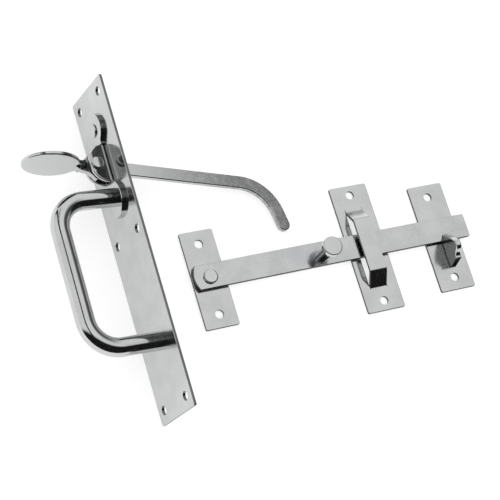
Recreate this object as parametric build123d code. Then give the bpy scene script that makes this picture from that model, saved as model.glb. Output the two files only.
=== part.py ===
from build123d import *
import os
from math import cos, radians, sin, sqrt, tan

# Suffolk thumb latch set, laid out as a kit on a flat surface.
# The handle set stands on one long edge of its plate and leans back on the
# tip of its lifter arm. The latch bar set lies flat beside it.
# World frame: X along the latch bar, Y up the plates, Z up from the surface.
# Handle frame: X across the plate, Y up the plate from its top end (so all
# heights are negative), Z out of the plate's front face towards the hand.

# --- Common stock ----------------------------------------------------------
SHEET = 2.0              # thickness of the flat plates
THROUGH = 12.0           # length of a cutter that passes right through a plate
SCREW_HOLE_D = 6.2
CORNER_R = 1.2           # plate corners, seen from the front
EDGE_R = 0.35            # tumbled edges of the plates
FIT = 0.06               # radial clearance of the two hinge pins

# --- Handle plate ----------------------------------------------------------
PLATE_L = 230.0
PLATE_W = 48.8
SCREW_INSET = 8.1        # hole centre to the plate's long edge
SCREW_DROPS = (8.8, 107.5, 221.3)
LEAN = 10.3              # degrees that the plate leans back, until the arm tip touches

# --- Thumb lever -----------------------------------------------------------
PIVOT_DROP = 55.5        # lever pin below the plate's top end
PIVOT_OUT = 9.0          # lever pin in front of the plate's face
PIN_D = 5.0
LEVER_T = 4.0            # flat bar that the lever is forged from
ARM_H = 9.2
ARM_DROOP = 12.0         # degrees that the arm hangs below square at rest
ARM_STRAIGHT = 106.7     # pin to the start of the bend
ARM_BEND_R = 30.0        # centreline
ARM_BEND_ANGLE = 69.0
ARM_END = 9.8            # straight end, to the centre of the round tip
BOSS_R = 5.6
# Web under the neck, about the pin: out from the plate, then up.
WEB = ((0.0, -4.6), (1.0, -9.6), (2.2, -9.2), (3.9, -6.3), (6.5, -4.1), (11.0, -2.2), (14.0, 0.6))
NECK_H = 7.4             # depth of the shoulder, from the ears to the pad
NECK_W = 4.4             # its width at the ears
NECK_START = 5.8         # in front of the pin, clear of the ears
NECK_RISE = 1.6          # its middle above the pin, at the ears
SHOULDER_RISE = 1.0      # its middle above the pin, at the pad
SHOULDER_OUT = 11.8      # its end in front of the pin
SHOULDER_END = (8.8, 5.6)    # its width and depth there
LEVER_EDGE_R = 0.9
ROOT_W = 13.0            # the pad's root
SHOULDER_R = 2.5         # hollow corners between the pad and its root
ROOT_L = 1.8             # straight root of the pad
PAD_L = 39.0
PAD_W = 34.0
PAD_T = 2.8
PAD_EDGE_R = 1.0
PAD_DISH = 1.2           # hollow in the thumb side
PAD_OUT = 39.2           # pad centre in front of the plate's face
PAD_RISE = 5.0           # pad centre above the pin
PAD_TILT = 10.0
LIFT = 30.0              # degrees from rest to full lift

# --- Pivot bracket ---------------------------------------------------------
RIVET_DROP = 30.2
LOBES = ((29.6, 11.2), (80.0, 13.0))   # drop and radius of the two round ends
BRACKET_T = 2.6
EAR_L = 26.5
EAR_TOP = 14.4           # above the plate's face
EAR_GAP = 5.4            # inside, at the root of the ears
EAR_BEND_R = 3.0         # outside of the fold at their root
EAR_INNER_R = 0.5
EAR_SPLAY = 2.0          # degrees of spring-back that each ear leans outwards
EAR_RIM_R = 0.8
RELIEF = 0.4             # notch past each end of the fold
SLOT_W = 5.0
SLOT_MARGIN = 0.5
WAIST_R = 5.0

# --- Grip handle -----------------------------------------------------------
GRIP_D = 12.7
GRIP_OUT = 44.9          # grip axis to the plate's face
GRIP_DROPS = (78.7, 179.5)
GRIP_BEND_R = 20.0
SPIGOT_D = 8.0

# --- Rivets of the handle set ----------------------------------------------
RIVET_D = 5.0
RIVET_HEAD_D = 9.5
RIVET_HEAD_H = 1.2
PIN_HEAD_D = 8.6
PIN_HEAD_H = 1.7
PIN_TAIL_D = 7.0
PIN_TAIL_H = 1.0

# --- Latch bar set (places measured from the handle plate's lower front
#     corner, before the whole kit is centred) -------------------------------
PIVOT_PLATE = dict(x=59.1, y=-139.5, width=24.4, length=69.8, inset=9.5)
KEEPER_PLATE = dict(x=179.2, y=-139.5, width=28.9, length=94.2, inset=7.1)
CATCH_PLATE = dict(x=238.3, y=-142.6, width=27.5, length=80.4, inset=9.3)

BAR_W = 17.2
BAR_T = 3.0
BAR_Y = -138.4           # bar centreline
PIVOT_Y = -139.3         # rivet and knob, a little below it
BAR_TAIL = 9.0           # pin to the bar's left corners
BAR_TAIL_BULGE = 2.4
BAR_RIGHT = 259.0
WASHER_D = 14.0
WASHER_T = 0.8
SIDE_PLAY = 0.05         # bar to washer and to rivet head
BAR_RIVET_D = 6.0
BAR_RIVET_HEAD_D = 10.2
BAR_RIVET_HEAD_H = 1.9

KNOB_X = 144.8
KNOB_STEM_D = 8.5
KNOB_HEAD_D = 14.0
KNOB_HEAD_H = 3.6
KNOB_TOTAL = 17.0
KNOB_SPIGOT_D = 5.0
KNOB_RIM_R = 0.9

STRAP_X = 178.4
STRAP_W = 12.9
STRAP_LOW = -168.4
STRAP_HIGH = -111.6
STRAP_RUN = 9.4          # length of each sloping leg along the plate
STRAP_RISE = 8.5
STRAP_BEND_R = 4.5       # centreline of the bends at its roots and shoulders
STRAP_ROOT = 2.0         # flat end of the strap past each root
WINDOW_PLAY = 0.25       # each side of the strap

HOOK_X = 237.3           # left face of the hook
HOOK_T = 4.2
HOOK_FOOT_Y = -164.8
HOOK_FOOT_L = 17.6       # foot along the plate, up to the notch
HOOK_HEEL = -1.6         # lower end of the foot
HOOK_FRONT = (1.4, 13.2) # top of the slanted lower end: along the foot, then height
HOOK_REACH = 22.2        # foot to the tip of the nose
HOOK_TIP_H = 5.2
HOOK_CREST = ((3.2, 13.5), (6.1, 16.8), (8.4, 18.9), (11.0, 18.9), (14.8, 16.0), (18.7, 10.8))
HOOK_RIM_R = 1.1
HOOK_TENON_L = 9.0
HOOK_CLEAR = 0.3

KIT_CENTRE_X = 102.8
KIT_CENTRE_Y = -PLATE_L / 2


# --- Placing ---------------------------------------------------------------
def handle_frame():
    """Where the handle frame sits in the world: the back lower edge on Z=0."""
    lean = radians(LEAN)
    half = PLATE_W / 2
    across = (sin(lean), 0, cos(lean))
    outward = (-cos(lean), 0, sin(lean))
    corner = (half * sin(lean) - KIT_CENTRE_X, -KIT_CENTRE_Y, half * cos(lean) + SHEET * sin(lean))
    return Plane(origin=corner, x_dir=across, z_dir=outward).location


def kit(shape):
    """Move a latch bar piece into the centred kit."""
    return Pos(-KIT_CENTRE_X, -KIT_CENTRE_Y, 0) * shape


def cylinder_between(diameter, low, high):
    """A round bar along Z from low to high."""
    return Pos(0, 0, (low + high) / 2) * Cylinder(diameter / 2, high - low)


def soft_plate(width, length, thickness):
    """A plate centred on X and Y, standing on Z=0, with rounded corners and edges."""
    plate = Pos(0, 0, thickness / 2) * Box(width, length, thickness)
    plate = fillet(plate.edges().filter_by(Axis.Z), CORNER_R)
    rims = plate.faces().filter_by(Axis.Z).edges()
    return fillet(rims, EDGE_R)


def domed_head(diameter, height):
    """A low rivet head standing on Z=0 with a rounded rim."""
    head = cylinder_between(diameter, 0, height)
    return fillet(head.edges().group_by(Axis.Z)[-1], height * 0.6)


# --- Handle set ------------------------------------------------------------
def slot_cutter():
    """The lever's slot, as long as the arm needs from rest to full lift."""
    reach = PIVOT_OUT + SHEET
    down = reach * tan(radians(ARM_DROOP)) + ARM_H / 2 / cos(radians(ARM_DROOP)) + SLOT_MARGIN
    raised = radians(LIFT - ARM_DROOP)
    up = reach * tan(raised) + ARM_H / 2 / cos(raised) + SLOT_MARGIN
    centre = -PIVOT_DROP + (up - down) / 2
    return Pos(0, centre, 0) * Box(SLOT_W, up + down, THROUGH)


def handle_plate():
    plate = Pos(0, -PLATE_L / 2, -SHEET) * soft_plate(PLATE_W, PLATE_L, SHEET)
    across = PLATE_W / 2 - SCREW_INSET
    for drop in SCREW_DROPS:
        for side in (-1, 1):
            plate -= Pos(side * across, -drop, 0) * Cylinder(SCREW_HOLE_D / 2, THROUGH)
    for drop in GRIP_DROPS:
        plate -= Pos(0, -drop, 0) * Cylinder(SPIGOT_D / 2, THROUGH)
    plate -= Pos(0, -RIVET_DROP, 0) * Cylinder(RIVET_D / 2, THROUGH)
    return plate - slot_cutter()


def ear_face(height):
    """Half the distance between the ears' outer faces, at a height above the plate's face."""
    return EAR_GAP / 2 + BRACKET_T + height * tan(radians(EAR_SPLAY))


def bracket_base():
    """Two round lobes joined by a waist, rounded where they meet."""
    (top, _), (bottom, _) = LOBES
    waist = ear_face(0)
    outline = Pos(0, -(top + bottom) / 2) * Rectangle(2 * waist, bottom - top)
    for drop, radius in LOBES:
        outline += Pos(0, -drop) * Circle(radius)
    base = extrude(outline, BRACKET_T)
    inner = base.edges().filter_by(Axis.Z).filter_by(lambda e: abs(abs(e.center().X) - waist) < 0.01)
    base = fillet(inner, WAIST_R)
    base = fillet(base.edges().group_by(Axis.Z)[-1], EDGE_R)
    notch = Box(2 * WAIST_R, EAR_L + 2 * RELIEF, THROUGH)
    for side in (-1, 1):
        base -= Pos(side * (waist - EAR_BEND_R + WAIST_R), -PIVOT_DROP, 0) * notch
    return base


def folded_ears():
    """The two ears and the strip between them: a U bent from sheet, cut to a D from the side."""
    half = EAR_GAP / 2
    outer = half + BRACKET_T
    lean = EAR_TOP * tan(radians(EAR_SPLAY))
    section = make_face(Polyline(
        (-outer, 0),
        (outer, 0),
        (outer + lean, EAR_TOP),
        (outer + lean - BRACKET_T, EAR_TOP),
        (half, BRACKET_T),
        (-half, BRACKET_T),
        (-outer - lean + BRACKET_T, EAR_TOP),
        (-outer - lean, EAR_TOP),
        close=True,
    ))
    corners = section.vertices().group_by(Axis.Y)
    section = fillet(corners[0], EAR_BEND_R)
    section = fillet(section.vertices().filter_by(lambda v: abs(v.Y - BRACKET_T) < 0.01), EAR_INNER_R)
    lengthwise = Plane(origin=(0, -PIVOT_DROP - EAR_L / 2, 0), x_dir=(1, 0, 0), z_dir=(0, -1, 0))
    channel = extrude(lengthwise.location * section, -EAR_L)
    profile = Pos(0, BRACKET_T) * Ellipse(EAR_L / 2, EAR_TOP - BRACKET_T)
    profile += Pos(0, BRACKET_T / 2) * Rectangle(EAR_L, BRACKET_T)
    profile &= Pos(0, EAR_TOP / 2) * Rectangle(EAR_L, EAR_TOP)
    side = Plane(origin=(0, -PIVOT_DROP, 0), x_dir=(0, 1, 0), z_dir=(1, 0, 0)).location
    ears = channel & side * extrude(profile, EAR_TOP, both=True)
    rims = ears.edges().filter_by(lambda e: e.geom_type != GeomType.LINE and e.center().Z > 2 * BRACKET_T)
    return fillet(rims, EAR_RIM_R)


def across_pin(diameter, low, high):
    """A round bar across the plate at the lever's pivot."""
    bar = cylinder_between(diameter, low, high)
    return Pos(0, -PIVOT_DROP, PIVOT_OUT) * Rot(0, 90, 0) * bar


def pivot_bracket():
    bracket = bracket_base() + folded_ears()
    bracket -= slot_cutter()
    bracket -= Pos(0, -RIVET_DROP, 0) * Cylinder(RIVET_D / 2, THROUGH)
    bracket -= Pos(0, -GRIP_DROPS[0], 0) * Cylinder(SPIGOT_D / 2, THROUGH)
    return bracket - across_pin(PIN_D, -THROUGH, THROUGH)


def bracket_rivet():
    shank = cylinder_between(RIVET_D, -SHEET, BRACKET_T)
    head = Pos(0, 0, BRACKET_T) * domed_head(RIVET_HEAD_D, RIVET_HEAD_H)
    return Pos(0, -RIVET_DROP, 0) * (shank + head)


def lever_pin():
    side = ear_face(PIVOT_OUT + PIN_HEAD_D / 2)
    pin = cylinder_between(PIN_D, -side, side)
    pin += Pos(0, 0, side) * domed_head(PIN_HEAD_D, PIN_HEAD_H)
    pin += Pos(0, 0, -side) * Rot(180, 0, 0) * domed_head(PIN_TAIL_D, PIN_TAIL_H)
    return Pos(0, -PIVOT_DROP, PIVOT_OUT) * Rot(0, 90, 0) * pin


def grip_handle():
    """A D handle bent from round bar, with a spigot riveted through at each end."""
    top, bottom = -GRIP_DROPS[0], -GRIP_DROPS[1]
    corners = [(0, top, BRACKET_T), (0, top, GRIP_OUT), (0, bottom, GRIP_OUT), (0, bottom, 0)]
    path = FilletPolyline(*corners, radius=GRIP_BEND_R)
    start = Plane(origin=corners[0], z_dir=(0, 0, 1))
    handle = sweep(start * Circle(GRIP_D / 2), path=path)
    for height, foot in ((top, BRACKET_T), (bottom, 0)):
        handle += Pos(0, height, 0) * cylinder_between(SPIGOT_D, -SHEET, foot)
    return handle


def lever_outline():
    """Side view of arm, boss and neck about the pin: X out of the plate, Y up."""
    half = ARM_H / 2
    droop = radians(ARM_DROOP)
    turn = radians(ARM_BEND_ANGLE)
    straight = Pos(-ARM_STRAIGHT / 2, 0) * Rectangle(ARM_STRAIGHT, ARM_H)
    ring = Circle(ARM_BEND_R + half) - Circle(ARM_BEND_R - half)
    far = 3 * ARM_BEND_R
    wedge = make_face(Polyline((0, 0), (0, far), (-far, far), (-far * sin(turn), far * cos(turn)), close=True))
    bend = Pos(-ARM_STRAIGHT, -ARM_BEND_R) * (ring & wedge)
    end = Pos(-ARM_END / 2, 0) * Rectangle(ARM_END, ARM_H) + Pos(-ARM_END, 0) * Circle(half)
    turned = Pos(-ARM_STRAIGHT, -ARM_BEND_R) * Rot(0, 0, ARM_BEND_ANGLE) * Pos(0, ARM_BEND_R) * end
    arm = Rot(0, 0, ARM_DROOP) * (straight + bend + turned)
    web = make_face(Polyline((0, BOSS_R), *WEB, (WEB[-1][0], NECK_RISE), close=True))
    return arm + web + Circle(BOSS_R)


def root_place():
    """Where the oval of the pad is as wide as its root, from the pad's centre."""
    return -PAD_L / 2 * sqrt(1 - (ROOT_W / PAD_W) ** 2)


def thumb_pad():
    """An oval pad with a short straight root, thick along Y, hollowed on its upper side."""
    root = root_place()
    oval = Ellipse(PAD_L / 2, PAD_W / 2) + Pos(root, 0) * Rectangle(2 * ROOT_L, ROOT_W)
    corners = oval.vertices().filter_by(lambda v: abs(v.X - root) < ROOT_L / 2)
    pad = extrude(fillet(corners, SHOULDER_R), PAD_T)
    rims = pad.faces().filter_by(Axis.Z).edges()
    pad = fillet(rims.filter_by(lambda e: e.center().X > root - ROOT_L + RELIEF), PAD_EDGE_R)
    ball_r = ((PAD_W / 2) ** 2 + PAD_DISH**2) / (2 * PAD_DISH)
    pad -= Pos(0, 0, PAD_T + ball_r - PAD_DISH) * Sphere(ball_r)
    return Rot(-90, 0, 0) * Pos(0, 0, -PAD_T / 2) * pad


def shoulder():
    """The tapering block that joins the pad to the flat bar."""
    wide = Plane(origin=(SHOULDER_OUT, SHOULDER_RISE, 0), x_dir=(0, 0, 1), z_dir=(1, 0, 0)).location
    narrow = Plane(origin=(NECK_START, NECK_RISE, 0), x_dir=(0, 0, 1), z_dir=(1, 0, 0)).location
    return loft([
        narrow * RectangleRounded(NECK_W, NECK_H, PAD_EDGE_R),
        wide * RectangleRounded(*SHOULDER_END, PAD_EDGE_R),
    ])


def thumb_lever():
    """Pad, neck, boss and lifter arm forged in one piece."""
    bar = Pos(0, 0, -LEVER_T / 2) * extrude(lever_outline(), LEVER_T)
    rims = bar.faces().filter_by(Axis.Z).edges()
    bar = fillet(rims.filter_by(lambda e: e.center().X < -2 * BOSS_R), LEVER_EDGE_R)
    pad_place = Pos(PAD_OUT - PIVOT_OUT, PAD_RISE, 0) * Rot(0, 0, PAD_TILT)
    lever = bar + shoulder() + pad_place * thumb_pad()
    lever -= Cylinder(PIN_D / 2 + FIT, 3 * LEVER_T)
    turned = Plane(origin=(0, -PIVOT_DROP, PIVOT_OUT), x_dir=(0, 0, 1), z_dir=(-1, 0, 0)).location
    return turned * lever


# --- Latch bar set ---------------------------------------------------------
def small_plate(plate):
    """A flat plate with a screw hole near each end."""
    body = soft_plate(plate["width"], plate["length"], SHEET)
    for end in (-1, 1):
        hole_y = end * (plate["length"] / 2 - plate["inset"])
        body -= Pos(0, hole_y, 0) * Cylinder(SCREW_HOLE_D / 2, THROUGH)
    return Pos(plate["x"], plate["y"], 0) * body


def bar_levels():
    """Underside and top of the latch bar."""
    low = SHEET + WASHER_T + SIDE_PLAY
    return low, low + BAR_T


def pivot_plate():
    plate = small_plate(PIVOT_PLATE)
    hole = Pos(PIVOT_PLATE["x"], PIVOT_Y, 0) * Cylinder(BAR_RIVET_D / 2, THROUGH)
    return kit(plate - hole)


def pivot_washer():
    ring = cylinder_between(WASHER_D, SHEET, SHEET + WASHER_T)
    ring -= cylinder_between(BAR_RIVET_D, 0, 2 * SHEET)
    return kit(Pos(PIVOT_PLATE["x"], PIVOT_Y, 0) * ring)


def pivot_rivet():
    top = bar_levels()[1] + SIDE_PLAY
    rivet = cylinder_between(BAR_RIVET_D, 0, top)
    rivet += Pos(0, 0, top) * domed_head(BAR_RIVET_HEAD_D, BAR_RIVET_HEAD_H)
    return kit(Pos(PIVOT_PLATE["x"], PIVOT_Y, 0) * rivet)


def latch_bar():
    """A flat bar with a shallow arched tail, turning on the pivot rivet."""
    left = PIVOT_PLATE["x"] - BAR_TAIL
    low, high = BAR_Y - BAR_W / 2, BAR_Y + BAR_W / 2
    tail = ThreePointArc((left, low), (left - BAR_TAIL_BULGE, BAR_Y), (left, high))
    sides = Polyline((left, high), (BAR_RIGHT, high), (BAR_RIGHT, low), (left, low))
    level = bar_levels()[0]
    bar = extrude(make_face([tail, sides]), BAR_T)
    square_end = bar.edges().filter_by(Axis.Z).group_by(Axis.X)[-1]
    bar = fillet(square_end, CORNER_R)
    bar = fillet(bar.faces().filter_by(Axis.Z).edges(), EDGE_R)
    bar = Pos(0, 0, level) * bar
    bar -= Pos(PIVOT_PLATE["x"], PIVOT_Y, level) * Cylinder(BAR_RIVET_D / 2 + FIT, 3 * BAR_T)
    bar -= Pos(KNOB_X, PIVOT_Y, level) * Cylinder(KNOB_SPIGOT_D / 2, 3 * BAR_T)
    return kit(bar)


def latch_knob():
    """A headed stud riveted through the bar."""
    low, high = bar_levels()
    knob = cylinder_between(KNOB_SPIGOT_D, low, high)
    knob += cylinder_between(KNOB_STEM_D, high, high + KNOB_TOTAL - KNOB_HEAD_H)
    head = cylinder_between(KNOB_HEAD_D, 0, KNOB_HEAD_H)
    head = fillet(head.edges().group_by(Axis.Z)[-1], KNOB_RIM_R)
    knob += Pos(0, 0, high + KNOB_TOTAL - KNOB_HEAD_H) * head
    return kit(Pos(KNOB_X, PIVOT_Y, 0) * knob)


def strap():
    """The bridge that is pressed up out of the keeper plate, bent smoothly at its roots and shoulders."""
    low = SHEET / 2
    high = low + STRAP_RISE
    path = FilletPolyline(
        (STRAP_X, STRAP_LOW - STRAP_ROOT, low),
        (STRAP_X, STRAP_LOW, low),
        (STRAP_X, STRAP_LOW + STRAP_RUN, high),
        (STRAP_X, STRAP_HIGH - STRAP_RUN, high),
        (STRAP_X, STRAP_HIGH, low),
        (STRAP_X, STRAP_HIGH + STRAP_ROOT, low),
        radius=STRAP_BEND_R,
    )
    section = Plane(origin=path @ 0, x_dir=(1, 0, 0), z_dir=path % 0).location * Rectangle(STRAP_W, SHEET)
    return sweep(section, path=path)


def keeper_plate():
    plate = small_plate(KEEPER_PLATE)
    window = Box(STRAP_W + 2 * WINDOW_PLAY, STRAP_HIGH - STRAP_LOW + 2 * STRAP_ROOT, THROUGH)
    plate -= Pos(STRAP_X, (STRAP_LOW + STRAP_HIGH) / 2, 0) * window
    return kit(plate + strap())


def hook_outline():
    """Side view of the catch hook: X up the plate, Y out of it."""
    notch_z = bar_levels()[1] - SHEET + HOOK_CLEAR
    tip = (HOOK_REACH, HOOK_TIP_H)
    crest = Spline(HOOK_FRONT, *HOOK_CREST, tip)
    nose = Polyline(tip, (HOOK_REACH, notch_z), (HOOK_FOOT_L, notch_z), (HOOK_FOOT_L, 0), (HOOK_HEEL, 0), HOOK_FRONT)
    return make_face([crest, nose])


def hook_tenon(play=0.0):
    """The tongue that is riveted through the catch plate."""
    middle = HOOK_FOOT_Y + HOOK_FOOT_L / 2
    tongue = Box(HOOK_T + play, HOOK_TENON_L + play, SHEET)
    return Pos(HOOK_X + HOOK_T / 2, middle, SHEET / 2) * tongue


def catch_plate():
    return kit(small_plate(CATCH_PLATE) - hook_tenon())


def catch_hook():
    side = Plane(origin=(HOOK_X, HOOK_FOOT_Y, SHEET), x_dir=(0, 1, 0), z_dir=(1, 0, 0)).location
    fin = extrude(side * hook_outline(), HOOK_T)
    crest = [e for e in fin.edges() if e.geom_type != GeomType.LINE]
    return kit(fillet(crest, HOOK_RIM_R) + hook_tenon())


# --- The kit ---------------------------------------------------------------
HANDLE_SET = dict(
    handle_plate=handle_plate,
    pivot_bracket=pivot_bracket,
    bracket_rivet=bracket_rivet,
    grip_handle=grip_handle,
    lever_pin=lever_pin,
    thumb_lever=thumb_lever,
)
LATCH_SET = dict(
    pivot_plate=pivot_plate,
    pivot_washer=pivot_washer,
    pivot_rivet=pivot_rivet,
    latch_bar=latch_bar,
    latch_knob=latch_knob,
    keeper_plate=keeper_plate,
    catch_plate=catch_plate,
    catch_hook=catch_hook,
)

os.makedirs("parts", exist_ok=True)
placed = handle_frame()
for name, make in HANDLE_SET.items():
    export_step(placed * make(), f"parts/{name}.step")
for name, make in LATCH_SET.items():
    export_step(make(), f"parts/{name}.step")
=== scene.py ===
from math import cos, radians, sin

import bpy
from mathutils import Matrix, Vector


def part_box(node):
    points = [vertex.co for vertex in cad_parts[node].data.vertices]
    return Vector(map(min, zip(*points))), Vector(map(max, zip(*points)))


# Looks for a bright zinc plated thumb latch kit: a handle set standing on
# its plate's edge, and a latch bar set lying flat beside it.
# Units are metres. X runs along the latch bar, Y up the plates, Z up.

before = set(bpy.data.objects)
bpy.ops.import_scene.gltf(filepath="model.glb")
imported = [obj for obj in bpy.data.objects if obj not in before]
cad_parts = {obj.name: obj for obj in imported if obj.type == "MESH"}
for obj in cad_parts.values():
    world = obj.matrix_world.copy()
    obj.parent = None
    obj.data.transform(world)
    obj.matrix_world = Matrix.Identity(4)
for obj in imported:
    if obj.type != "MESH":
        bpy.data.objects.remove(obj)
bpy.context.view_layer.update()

# --- Places on the object --------------------------------------------------
UP = (0, 0, 1)
HOOK_END_OUT = (0, -1, 0)                                 # out of the hook's sawn end
PLATE_LEAN = radians(10.3)                                # the handle plate leans back
PLATE_OUT = (-cos(PLATE_LEAN), 0.0, sin(PLATE_LEAN))      # out of its face
PLATE_ACROSS = (sin(PLATE_LEAN), 0.0, cos(PLATE_LEAN))    # across its width

SHEET_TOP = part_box("catch_plate")[1].z                    # of the plates that lie flat
SHEET_LEVEL = SHEET_TOP + 0.0002                          # just above them
HOOK_FOOT_LEVEL = SHEET_TOP + 0.0012                      # painted shade at the foot of the hook's sides

PIN_X = sum(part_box("lever_pin"), Vector()).x / 2
NECK_START = (PIN_X - 0.01233, PIN_X - 0.01193)           # painted shade in the recess beside the lever's shoulder
NECK_END = (PIN_X - 0.00663, PIN_X - 0.00513)
ARM_DULLS = (-0.085, 0.005)                               # X over which the arm turns dull

# --- Finishes --------------------------------------------------------------
BRIGHT = ((0.575, 0.58, 0.582), (0.515, 0.52, 0.523))
ROLLED = ((0.565, 0.57, 0.573), (0.485, 0.49, 0.495))
FORGED_BRIGHT = (0.545, 0.55, 0.553)
FORGED_DULL = ((0.21, 0.212, 0.215), (0.50, 0.502, 0.505))
# Edges: darker with wear and painted shade
RUBBED_AND_SHADE = (0.33, 0.335, 0.345)
# Near black for painted shade: on sheared and sawn faces, which are also rougher, and in the hollows
# beside the lever's neck
SHEARED_AND_SHADE = (0.06, 0.061, 0.063)

# Noise, in cells per metre
BLOTCHES = 60
WAVES = 30
GRAIN = 1600
FORGED_PATCHES = 250
FORGED_GRAIN = 900

EDGE_R = 0.00035             # width of the edges darkened by wear and painted shade
FORGED_EDGE_R = 0.0005
EDGE_SAMPLES = 6
EDGE_COSINES = (0.80, 0.99)  # between rounded and flat normals, from edge to open face
RUBBED_ROUGHER = 0.12
SHEARED_ROUGHER = 0.25

# Cosines between a face's normal and a direction, where its mask fades
SHEARED_COSINES = (0.45, 0.85)
HOOK_END_COSINES = (0.8, 0.95)
NECK_SIDE_COSINES = (0.25, 0.5)
LEANING_EDGE_SHADE = 0.7      # how far the painted shade covers
# strength of the painted shade at the hook's foot
HOOK_FOOT_SHADE = 0.9

FORGED_ROUGHNESS = (0.09, 0.25)    # at the pad, and along the arm
FORGED_GRAIN_ROUGHER = 0.05
FORGED_PATCH_DEPTH = 0.00001
FORGED_GRAIN_DEPTH = 0.000008

# --- Camera and studio -----------------------------------------------------
CAMERA_AT = Vector((-0.3877, -0.27874, 0.92323))
LOOK_AT = Vector((-0.0082, -0.0095, 0.0))
CAMERA_ROLL = 40.54          # degrees about the line of sight
LENS = 108.51
SENSOR = 36.0

FLOOR_HALF = 4.0
FLOOR_DROP = 0.00005
PAPER = 0.45
PAPER_GLOW = 0.62

FILL = 1.25                  # even light on everything that is not a mirror
ROOM_GLOW = 0.015            # the dark room outside the tent
FRONT_TILT = 0.18            # the tent's front edge comes forward as it rises
FRONT_EDGE = (-0.16, 0.06)   # from the dark room to the tent
RIGHT_EDGE = (0.56, 0.76)    # from the tent to its dim right end
RIGHT_LEVEL = 0.10
BACK_TILT = -1.2             # the tent is dimmer low at the back
BACK_EDGE = (0.42, 0.95)
BACK_LEVEL = 0.6
SEAM_START = (0.41, 0.43)    # the tent's dark seam, as its cosine to PLATE_OUT
SEAM_END = (0.54, 0.575)

SLIT_HALF = 0.055            # half the width of the tent's slit for the camera
SLIT_END = 1.6               # its far end, along Y
SLIT_RISE = 0.01             # the card over it, above the camera


# --- Node helpers ----------------------------------------------------------
def new_material(name):
    """An empty node material: its data, its node tree and its shader."""
    material = bpy.data.materials.new(name)
    material.use_nodes = True
    tree = material.node_tree
    tree.nodes.clear()
    shader = tree.nodes.new("ShaderNodeBsdfPrincipled")
    output = tree.nodes.new("ShaderNodeOutputMaterial")
    tree.links.new(shader.outputs["BSDF"], output.inputs["Surface"])
    return material, tree, shader


def feed(tree, socket, value):
    """Give an input another node's output, or a fixed value."""
    if isinstance(value, bpy.types.NodeSocket):
        tree.links.new(value, socket)
    else:
        socket.default_value = value


def math_node(tree, operation, *values):
    """One operation on numbers."""
    node = tree.nodes.new("ShaderNodeMath")
    node.operation = operation
    for socket, value in zip(node.inputs, values):
        feed(tree, socket, value)
    return node.outputs[0]


def product(tree, first, *others):
    """All the values multiplied together."""
    for value in others:
        first = math_node(tree, "MULTIPLY", first, value)
    return first


def dot(tree, first, second):
    """Cosine between two directions."""
    node = tree.nodes.new("ShaderNodeVectorMath")
    node.operation = "DOT_PRODUCT"
    for socket, value in zip(node.inputs, (first, second)):
        feed(tree, socket, value)
    return node.outputs["Value"]


def axes(tree, vector):
    """The X, Y and Z of a vector."""
    node = tree.nodes.new("ShaderNodeSeparateXYZ")
    tree.links.new(vector, node.inputs[0])
    return node.outputs


def span(tree, value, start, end, first=0.0, last=1.0):
    """Map start..end of a value smoothly to first..last, clamped."""
    node = tree.nodes.new("ShaderNodeMapRange")
    node.interpolation_type = "SMOOTHSTEP"
    tree.links.new(value, node.inputs["Value"])
    for name, number in (("From Min", start), ("From Max", end), ("To Min", first), ("To Max", last)):
        node.inputs[name].default_value = number
    return node.outputs["Result"]


def place(tree):
    """Where a point is on the object at rest."""
    return tree.nodes.new("ShaderNodeTexCoord").outputs["Object"]


def noise(tree, cells, detail=3.0, rough=0.55):
    """Even noise over the object."""
    node = tree.nodes.new("ShaderNodeTexNoise")
    node.inputs["Scale"].default_value = cells
    node.inputs["Detail"].default_value = detail
    node.inputs["Roughness"].default_value = rough
    tree.links.new(place(tree), node.inputs["Vector"])
    return node.outputs["Fac"]


def mix_colour(tree, factor, first, second):
    """The first colour where factor is 0, the second where it is 1."""
    node = tree.nodes.new("ShaderNodeMix")
    node.data_type = "RGBA"
    tree.links.new(factor, node.inputs["Factor"])
    for socket, value in ((node.inputs["A"], first), (node.inputs["B"], second)):
        feed(tree, socket, (*value, 1) if isinstance(value, tuple) else value)
    return node.outputs["Result"]


def bump(tree, height, depth, normal=None):
    """A normal for a relief of some depth, over another normal where one is given."""
    node = tree.nodes.new("ShaderNodeBump")
    node.inputs["Distance"].default_value = depth
    tree.links.new(height, node.inputs["Height"])
    if normal is not None:
        tree.links.new(normal, node.inputs["Normal"])
    return node.outputs["Normal"]


# --- Masks -----------------------------------------------------------------
def surface_normal(tree):
    """The normal of the surface itself, without bump."""
    return tree.nodes.new("ShaderNodeNewGeometry").outputs["Normal"]


def edge_mask(tree, radius):
    """1 on edges and corners, 0 on open faces."""
    bevel = tree.nodes.new("ShaderNodeBevel")
    bevel.samples = EDGE_SAMPLES
    bevel.inputs["Radius"].default_value = radius
    alike = dot(tree, bevel.outputs["Normal"], surface_normal(tree))
    return span(tree, alike, *EDGE_COSINES, 1.0, 0.0)


def square_on(tree, direction):
    """1 on faces square to a direction, either way round, falling to 0 on those that lie along it."""
    return math_node(tree, "ABSOLUTE", dot(tree, surface_normal(tree), direction))


def sheared_faces(tree, out):
    """1 on the narrow faces that look along a plate rather than out of it."""
    return span(tree, square_on(tree, out), *SHEARED_COSINES, 1.0, 0.0)


def below(tree, level):
    """1 under a height, 0 over it."""
    return math_node(tree, "LESS_THAN", axes(tree, place(tree))["Z"], level)


def flat_sheet_edges(tree):
    """The sheared edges of the plates that lie flat, painted dark as shade."""
    return product(tree, sheared_faces(tree, UP), below(tree, SHEET_LEVEL))


def leaning_sheet_edges(tree):
    """The sheared edges of the handle plate, painted a little lighter as shade."""
    return product(tree, sheared_faces(tree, PLATE_OUT), LEANING_EDGE_SHADE)


def bar_edges(tree):
    """The narrow sides of the latch bar, painted dark as shade."""
    return sheared_faces(tree, UP)


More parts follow.
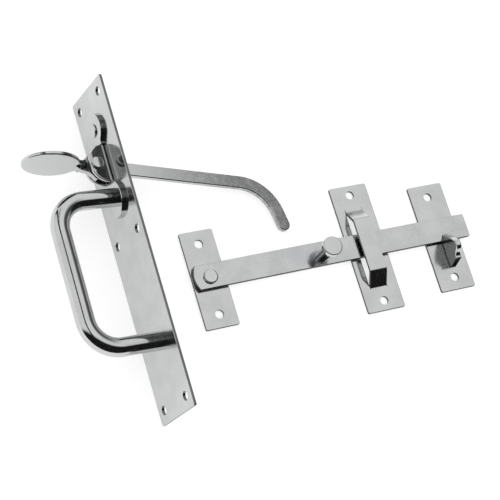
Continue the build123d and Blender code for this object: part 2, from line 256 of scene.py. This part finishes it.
def hook_end_and_foot_shade(tree):
    """Painted shade on the sawn end of the hook, which is also rougher, and at the foot of its sides on
    the plate.
    """
    end = span(tree, dot(tree, surface_normal(tree), HOOK_END_OUT), *HOOK_END_COSINES)
    foot = product(tree, below(tree, HOOK_FOOT_LEVEL), HOOK_FOOT_SHADE)
    return math_node(tree, "MAXIMUM", end, foot)


def neck_painted_shade(tree, x):
    """Painted shade in the hollows on both sides of the lever's neck."""
    start = span(tree, x, *NECK_START)
    end = span(tree, x, *NECK_END, 1.0, 0.0)
    sides = span(tree, square_on(tree, PLATE_ACROSS), *NECK_SIDE_COSINES)
    return product(tree, start, end, sides)


# --- Materials -------------------------------------------------------------
def zinc(name, colours, roughness, grain, wave, dark=None):
    """Zinc plating: even tint, fine grain, slight waves, and edges darkened by wear and painted shade.

    grain and wave are depths. dark, where given, is a function from the
    node tree to a mask of faces painted near black as painted shade, and made rougher.
    """
    material, tree, shader = new_material(name)
    shader.inputs["Metallic"].default_value = 1.0
    blotch = noise(tree, BLOTCHES)
    fine = noise(tree, GRAIN, rough=0.6)
    mottle = math_node(tree, "MULTIPLY_ADD", blotch, 0.5, product(tree, fine, 0.5))
    colour = mix_colour(tree, span(tree, mottle, 0.38, 0.62), *colours)
    # Edges darkened by wear and painted shade
    rubbed_and_shade = product(tree, edge_mask(tree, EDGE_R), span(tree, fine, 0.3, 0.6, 0.5, 1.0))
    colour = mix_colour(tree, rubbed_and_shade, colour, RUBBED_AND_SHADE)
    rough = span(tree, math_node(tree, "MULTIPLY_ADD", fine, 0.5, blotch), 0.5, 1.0, *roughness)
    rough = math_node(tree, "MULTIPLY_ADD", rubbed_and_shade, RUBBED_ROUGHER, rough)
    if dark is not None:
        # Painted shade: these faces are painted near black
        mask = dark(tree)
        colour = mix_colour(tree, mask, colour, SHEARED_AND_SHADE)
        rough = math_node(tree, "MULTIPLY_ADD", mask, SHEARED_ROUGHER, rough)
    tree.links.new(colour, shader.inputs["Base Color"])
    tree.links.new(rough, shader.inputs["Roughness"])
    normal = bump(tree, noise(tree, WAVES, detail=1), wave)
    normal = bump(tree, fine, grain, normal)
    tree.links.new(normal, shader.inputs["Normal"])
    return material


def forged_zinc():
    """The lever: bright at the pad, then duller and grainier along the arm to its tip, with painted
    shade beside its neck.
    """
    material, tree, shader = new_material("forged_lever")
    shader.inputs["Metallic"].default_value = 1.0
    x = axes(tree, place(tree))["X"]
    along = span(tree, x, *ARM_DULLS)
    fine = noise(tree, FORGED_GRAIN, 4, 0.7)
    coarse = noise(tree, FORGED_PATCHES, 3, 0.6)
    grain = math_node(tree, "MULTIPLY_ADD", coarse, 0.6, product(tree, fine, 0.6))
    dull = mix_colour(tree, span(tree, grain, 0.50, 0.72), *FORGED_DULL)
    speck = span(tree, grain, 0.40, 0.75, 0.55, 1.0)
    clean = span(tree, edge_mask(tree, FORGED_EDGE_R), 0.0, 1.0, 1.0, 0.25)
    colour = mix_colour(tree, product(tree, speck, along, clean), FORGED_BRIGHT, dull)
    # Painted shade in the hollows beside the neck
    colour = mix_colour(tree, neck_painted_shade(tree, x), colour, SHEARED_AND_SHADE)
    tree.links.new(colour, shader.inputs["Base Color"])
    smooth, dulled = FORGED_ROUGHNESS
    rough = math_node(tree, "MULTIPLY_ADD", along, dulled - smooth, smooth)
    rough = math_node(tree, "MULTIPLY_ADD", fine, FORGED_GRAIN_ROUGHER, rough)
    tree.links.new(rough, shader.inputs["Roughness"])
    normal = bump(tree, coarse, FORGED_PATCH_DEPTH)
    normal = bump(tree, fine, FORGED_GRAIN_DEPTH, normal)
    tree.links.new(normal, shader.inputs["Normal"])
    return material


def floor_paper():
    """Backlit white paper: it glows a little, so that holes and gaps in front of it stay bright."""
    material, tree, shader = new_material("floor_paper")
    shader.inputs["Roughness"].default_value = 0.9
    shader.inputs["Specular IOR Level"].default_value = 0.0
    shader.inputs["Base Color"].default_value = (PAPER, PAPER, PAPER, 1)
    shader.inputs["Emission Color"].default_value = (1, 1, 1, 1)
    shader.inputs["Emission Strength"].default_value = PAPER_GLOW
    return material


def flag_black():
    """Black card without any shine."""
    material, tree, shader = new_material("flag_black")
    shader.inputs["Base Color"].default_value = (0, 0, 0, 1)
    shader.inputs["Specular IOR Level"].default_value = 0.0
    return material


# --- Stage -----------------------------------------------------------------
def flat_piece(name, corners, material):
    """One four-cornered sheet."""
    mesh = bpy.data.meshes.new(name)
    mesh.from_pydata(corners, [], [(0, 1, 2, 3)])
    mesh.materials.append(material)
    obj = bpy.data.objects.new(name, mesh)
    bpy.context.collection.objects.link(obj)
    return obj


def floor():
    """A plain pale floor just under the object."""
    h = FLOOR_HALF
    corners = [(x, y, -FLOOR_DROP) for x, y in ((-h, -h), (h, -h), (h, h), (-h, h))]
    obj = flat_piece("floor", corners, floor_paper())


def slit_flag():
    """A dark card over the slit that the camera looks through, seen only in mirror reflections."""
    x, y, z = CAMERA_AT
    low, high = x - SLIT_HALF, x + SLIT_HALF
    level = z + SLIT_RISE
    corners = [(low, y, level), (high, y, level), (high, SLIT_END, level), (low, SLIT_END, level)]
    obj = flat_piece("slit_flag", corners, flag_black())
    obj.visible_camera = False
    obj.visible_diffuse = False
    obj.visible_shadow = False


def camera():
    """A long lens from above, front and left, rolled about its line of sight."""
    data = bpy.data.cameras.new("camera")
    data.lens = LENS
    data.sensor_width = SENSOR
    obj = bpy.data.objects.new("camera", data)
    bpy.context.collection.objects.link(obj)
    turn = (LOOK_AT - CAMERA_AT).to_track_quat("-Z", "Y").to_matrix()
    turn = turn @ Matrix.Rotation(radians(CAMERA_ROLL), 3, "Z")
    obj.matrix_world = Matrix.Translation(CAMERA_AT) @ turn.to_4x4()
    bpy.context.scene.camera = obj


def tent(tree, direction):
    """How bright the tent is: dark in front, dim low at the right and the back, with one dark seam."""
    x, y, z = axes(tree, direction)
    front = span(tree, math_node(tree, "MULTIPLY_ADD", z, FRONT_TILT, y), *FRONT_EDGE)
    right = span(tree, x, *RIGHT_EDGE, 1.0, RIGHT_LEVEL)
    back = span(tree, math_node(tree, "MULTIPLY_ADD", z, BACK_TILT, y), *BACK_EDGE, 1.0, BACK_LEVEL)
    cosine = dot(tree, direction, PLATE_OUT)
    before = span(tree, cosine, *SEAM_START, 1.0, 0.0)
    after = span(tree, cosine, *SEAM_END)
    seam = math_node(tree, "MAXIMUM", before, after)
    return math_node(tree, "MAXIMUM", product(tree, front, right, back, seam), ROOM_GLOW)


def studio():
    """A white tent overhead, behind and to the left, open in front to a dark room and dim on the right.

    Only mirror reflections see the tent's openings. Diffuse light is even, so the floor stays plain.
    """
    world = bpy.data.worlds.new("studio")
    world.use_nodes = True
    world.cycles.sampling_method = "NONE"
    tree = world.node_tree
    tree.nodes.clear()
    output = tree.nodes.new("ShaderNodeOutputWorld")
    background = tree.nodes.new("ShaderNodeBackground")
    tree.links.new(background.outputs[0], output.inputs["Surface"])
    direction = tree.nodes.new("ShaderNodeTexCoord").outputs["Generated"]
    glossy = tree.nodes.new("ShaderNodeLightPath").outputs["Is Glossy Ray"]
    colour = mix_colour(tree, glossy, (FILL, FILL, FILL), tent(tree, direction))
    tree.links.new(colour, background.inputs["Color"])
    bpy.context.scene.world = world


floor()
camera()
studio()
slit_flag()
bpy.context.scene.view_settings.view_transform = "Standard"

# --- Looks of the pieces ---------------------------------------------------
# Colours, roughness, depth of the grain and of the waves, and faces painted dark as shade
finishes = {
    "flat_sheet": (BRIGHT, (0.12, 0.19), 0.000002, 0.000006, flat_sheet_edges),
    "leaning_sheet": (BRIGHT, (0.12, 0.19), 0.000002, 0.000006, leaning_sheet_edges),
    "bracket": (BRIGHT, (0.05, 0.09), 0.000002, 0.000006),
    "polished_round": (BRIGHT, (0.08, 0.16), 0.000003, 0.00002),
    "hook": (BRIGHT, (0.10, 0.16), 0.000003, 0.00002, hook_end_and_foot_shade),
    "rolled_bar": (ROLLED, (0.10, 0.2), 0.000006, 0.00002, bar_edges),
}
looks = {name: zinc(name, *finish) for name, finish in finishes.items()}
looks["forged_lever"] = forged_zinc()

worn_by = {
    "flat_sheet": ("pivot_plate", "keeper_plate", "catch_plate"),
    "leaning_sheet": ("handle_plate",),
    "bracket": ("pivot_bracket", "pivot_washer"),
    "hook": ("catch_hook",),
    "polished_round": ("grip_handle", "lever_pin", "bracket_rivet", "pivot_rivet", "latch_knob"),
    "rolled_bar": ("latch_bar",),
    "forged_lever": ("thumb_lever",),
}
for look, nodes in worn_by.items():
    for node in nodes:
        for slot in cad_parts[node].material_slots:
            slot.material = looks[look]
